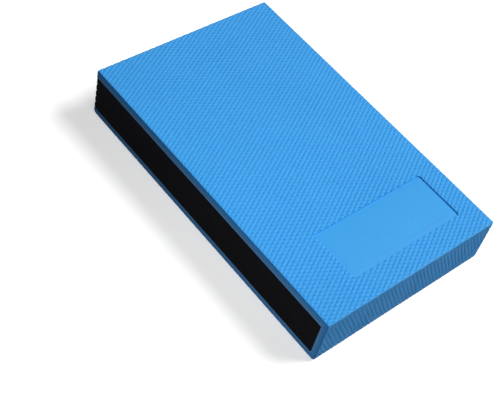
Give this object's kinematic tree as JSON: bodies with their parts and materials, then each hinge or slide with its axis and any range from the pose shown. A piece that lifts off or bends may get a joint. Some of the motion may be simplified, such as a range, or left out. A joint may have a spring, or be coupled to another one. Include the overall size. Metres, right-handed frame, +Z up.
{
  "type": "foam balance pad",
  "caption": "Rectangular foam balance pad: black foam core in a textured blue skin folded round one end, with cut long sides and a bare label recess.",
  "frame": {"origin": "middle of the underside, which rests on the floor", "axes": "+X along the pad towards the wrapped end and its label recess, +Y across the pad towards the side that the recess is nearer to, +Z up out of the standing face"},
  "size_m": [0.38, 0.235, 0.064],
  "materials": {
    "skin_foam": "matt closed-cell foam, embossed with raised diamonds outside and smooth where it is cut",
    "core_foam": "matt closed-cell foam, smooth where it is cut and embossed at the bare end",
    "bond_film": "hot-melt film, seen only as a hairline between the layers"
  },
  "bodies": {
    "root": {"foam_core": "core_foam", "base_wrap": "skin_foam", "wrap_bond": "bond_film", "top_bond": "bond_film", "top_skin": "skin_foam"}
  },
  "joints": []
}
